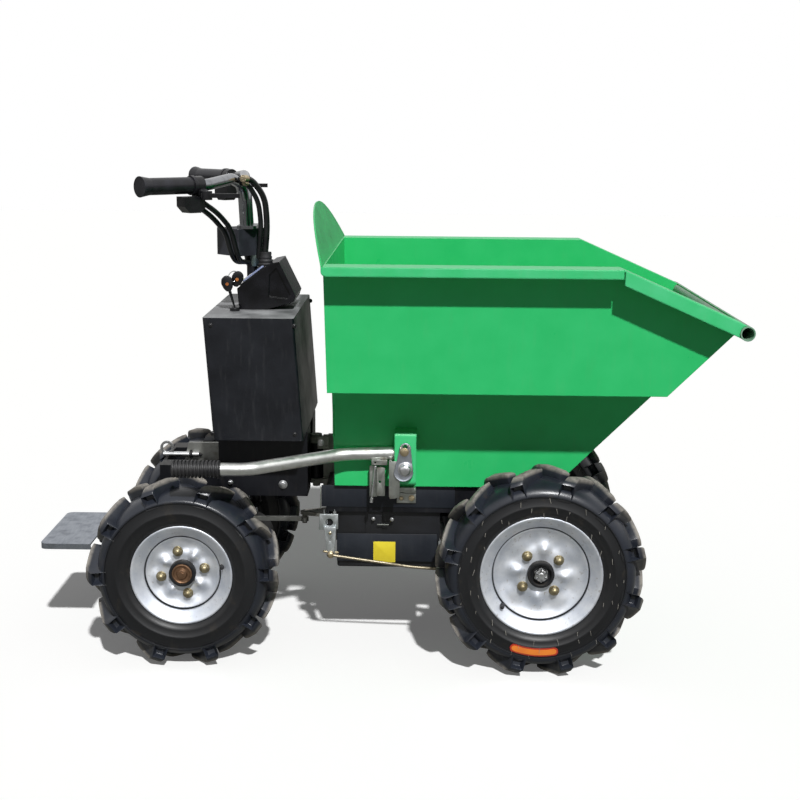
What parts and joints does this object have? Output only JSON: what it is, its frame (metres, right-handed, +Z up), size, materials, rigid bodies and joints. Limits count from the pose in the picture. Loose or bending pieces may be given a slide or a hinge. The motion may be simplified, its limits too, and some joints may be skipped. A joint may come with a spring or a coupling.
{
  "type": "site dumper",
  "caption": "Electric stand-on mini dumper, centre-articulated, with forward-tipping skip, lugged tyres, handlebar steering and a fold-up step.",
  "frame": {"origin": "on the ground under the middle of the machine's overall length and width", "axes": "+X forward, towards the mouth of the skip; +Y to the machine's left; +Z up"},
  "size_m": [1.3665, 0.717, 0.9529],
  "materials": {
    "green_enamel": "gloss enamel on pressed and welded steel sheet",
    "black_powder": "satin black powder coat",
    "black_sheet": "satin black paint on folded sheet",
    "wheel_zinc": "bright galvanised pressing",
    "lever_zinc": "satin bright zinc on tube",
    "cable_sheath": "black cable sheath",
    "hub_iron": "black painted cast iron with bright nuts",
    "tyre_rubber": "matt rubber, dusty lugs",
    "battery_plastic": "textured black plastic",
    "motor_black": "black painted aluminium",
    "zinc_plate": "bright zinc plate",
    "step_steel": "brushed plate with worn edges",
    "pod_plastic": "moulded black plastic",
    "box_plastic": "moulded black plastic",
    "bar_chrome": "chromed tube",
    "grip_rubber": "soft moulded rubber"
  },
  "bodies": {
    "front_frame": {"front_chassis": "black_powder", "battery_box": "battery_plastic", "hinge_yoke": "black_powder", "front_axle": "black_powder", "front_motor": "motor_black", "latch_catch": "zinc_plate", "brake_relay": "zinc_plate", "brake_rod": "zinc_plate"},
    "skip": {"skip_tray": "green_enamel", "skip_trough": "green_enamel", "skip_rims": "green_enamel", "lip_tube": "green_enamel", "skip_hinge_ears": "green_enamel", "lever_bracket": "green_enamel"},
    "tip_lever": {"tip_lever_tube": "lever_zinc", "tip_lever_grip": "grip_rubber", "tip_lever_plate": "zinc_plate"},
    "rear_frame": {"rear_subframe": "black_powder", "rear_axle": "black_powder", "rear_motor": "motor_black", "cabinet": "black_sheet", "console_pod": "pod_plastic", "key_switch": "pod_plastic", "tow_bracket": "zinc_plate", "tow_pin": "zinc_plate"},
    "step": {"step_plate": "step_steel"},
    "handlebar": {"steering_column": "black_powder", "handlebar_tube": "bar_chrome", "handlebar_grips": "grip_rubber", "control_perches": "box_plastic", "junction_box": "box_plastic", "control_cables": "cable_sheath"},
    "drag_link": {"drag_link": "zinc_plate"},
    "front_left_wheel": {"front_left_tyre": "tyre_rubber", "front_left_rim": "wheel_zinc", "front_left_hub": "hub_iron"},
    "front_right_wheel": {"front_right_tyre": "tyre_rubber", "front_right_rim": "wheel_zinc", "front_right_hub": "hub_iron"},
    "rear_left_wheel": {"rear_left_tyre": "tyre_rubber", "rear_left_rim": "wheel_zinc", "rear_left_hub": "hub_iron"},
    "rear_right_wheel": {"rear_right_tyre": "tyre_rubber", "rear_right_rim": "wheel_zinc", "rear_right_hub": "hub_iron"}
  },
  "joints": [
    {"name": "articulation", "type": "hinge", "parent": "front_frame", "child": "rear_frame", "pos_m": [-0.12627, 0, 0.36], "axis": [0, 0, 1], "range_deg": [-15, 15]},
    {"name": "steering", "type": "hinge", "parent": "rear_frame", "child": "handlebar", "pos_m": [-0.25527, 0, 0.56], "axis": [0, 0, 1], "range_deg": [-15, 15]},
    {"name": "drag_link_pivot", "type": "hinge", "parent": "handlebar", "child": "drag_link", "pos_m": [-0.27527, -0.06, 0.248], "axis": [0, 0, 1], "range_deg": [-15, 15]},
    {"name": "skip_tip", "type": "hinge", "parent": "front_frame", "child": "skip", "pos_m": [0.3608, 0, 0.326], "axis": [0, 1, 0], "range_deg": [0, 70]},
    {"name": "lever_lift", "type": "hinge", "parent": "skip", "child": "tip_lever", "pos_m": [0.06177, -0.216, 0.397], "axis": [0, 1, 0], "range_deg": [0, 12]},
    {"name": "step_fold", "type": "hinge", "parent": "rear_frame", "child": "step", "pos_m": [-0.56727, 0, 0.197], "axis": [0, 1, 0], "range_deg": [0, 85]},
    {"name": "front_left_roll", "type": "hinge", "parent": "front_frame", "child": "front_left_wheel", "pos_m": [0.32477, 0.236, 0.2035], "axis": [0, 1, 0], "continuous": true},
    {"name": "front_right_roll", "type": "hinge", "parent": "front_frame", "child": "front_right_wheel", "pos_m": [0.32477, -0.236, 0.2035], "axis": [0, 1, 0], "continuous": true},
    {"name": "rear_left_roll", "type": "hinge", "parent": "rear_frame", "child": "rear_left_wheel", "pos_m": [-0.37027, 0.21, 0.1875], "axis": [0, 1, 0], "continuous": true},
    {"name": "rear_right_roll", "type": "hinge", "parent": "rear_frame", "child": "rear_right_wheel", "pos_m": [-0.37027, -0.21, 0.1875], "axis": [0, 1, 0], "continuous": true}
  ],
  "couplings": [
    {"joint": "steering", "follows": "articulation", "ratio": -1},
    {"joint": "drag_link_pivot", "follows": "articulation", "ratio": 1}
  ]
}
